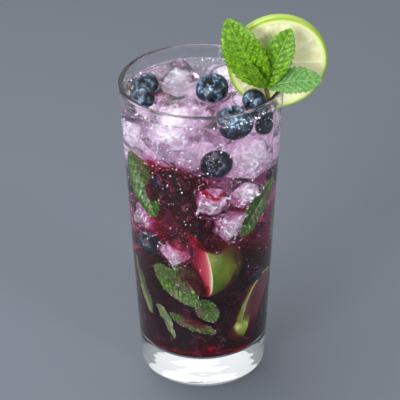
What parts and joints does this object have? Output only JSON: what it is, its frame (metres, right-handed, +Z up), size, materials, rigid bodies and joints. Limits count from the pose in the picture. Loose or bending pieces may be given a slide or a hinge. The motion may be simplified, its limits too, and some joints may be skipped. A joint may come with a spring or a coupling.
{
  "type": "blueberry mojito cocktail",
  "caption": "Blueberry mojito in a tall clear tumbler: ice and berries at the surface, muddled lime and mint below, a lime wheel and a mint sprig at the rim.",
  "frame": {"origin": "middle of the flat foot of the glass, on the surface that it stands on", "axes": "+Z up along the axis of the glass, +X towards the lime wheel on the rim, -Y towards the viewer of the lime wheel's face"},
  "size_m": [0.0953, 0.0758, 0.1878],
  "materials": {
    "clear_glass": "clear soda-lime glass, pressed and fire polished, with a thick base",
    "drink": "sparkling drink stained by berry syrup, pale pink above and dark purple below",
    "blueberry": "dark blue skin with a pale waxy bloom",
    "ice": "wet melting ice, clear at the edges and cloudy in the middle",
    "lime": "wet cut lime with pale pith and glossy green peel",
    "mint": "fresh mint leaves, puckered between their veins"
  },
  "bodies": {
    "root": {"glass": "clear_glass", "drink": "drink", "blueberry_left_back": "blueberry", "blueberry_left_front": "blueberry", "blueberry_middle": "blueberry", "blueberry_front": "blueberry", "blueberry_right": "blueberry", "ice_back_left": "ice", "ice_front": "ice", "ice_back_right": "ice", "lime_wheel": "lime", "mint_sprig": "mint"}
  },
  "joints": []
}
